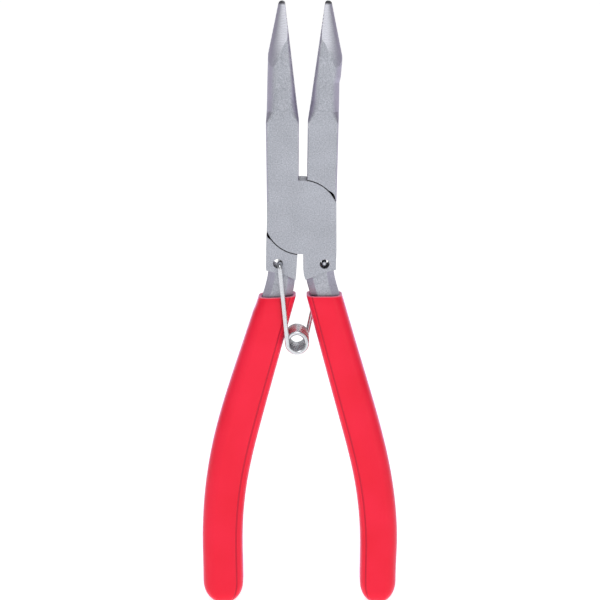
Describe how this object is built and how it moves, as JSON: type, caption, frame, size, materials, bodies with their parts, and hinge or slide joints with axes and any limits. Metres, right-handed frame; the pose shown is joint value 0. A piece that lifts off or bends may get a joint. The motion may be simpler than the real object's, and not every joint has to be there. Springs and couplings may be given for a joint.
{
  "type": "long-nose pliers",
  "caption": "Long-nose fishing pliers with a lap joint, blind rivet, coil return spring hooked between the handles and red slip-on grips.",
  "frame": {"origin": "where the pivot axis meets the joint's back face", "axes": "+X to the right seen from the front, +Y out of the joint's back face, +Z towards the jaw tips"},
  "size_m": [0.0652, 0.0158, 0.2019],
  "materials": {
    "steel": "fine blasted, satin plated",
    "rivet_steel": "ground flush, satin",
    "grip_red": "soft vinyl, satin gloss",
    "spring_wire": "drawn spring wire, bright plated"
  },
  "bodies": {
    "front_half": {"front_half": "steel", "pivot_rivet": "rivet_steel", "right_grip": "grip_red"},
    "rear_half": {"rear_half": "steel", "left_grip": "grip_red", "spring_front": "spring_wire"},
    "spring_rear": {"spring_rear": "spring_wire"}
  },
  "joints": [
    {"name": "jaw_pivot", "type": "hinge", "parent": "front_half", "child": "rear_half", "pos_m": [0, 0, 0], "axis": [0, -1, 0], "range_deg": [-2, 3.7], "stiffness_Nm_per_rad": 3},
    {"name": "spring_coil", "type": "hinge", "parent": "rear_half", "child": "spring_rear", "pos_m": [-0.0015, -0.0052, -0.0415], "axis": [0, -1, 0], "range_deg": [-3, 3]}
  ],
  "couplings": [
    {"joint": "spring_coil", "follows": "jaw_pivot", "ratio": 0.46}
  ]
}
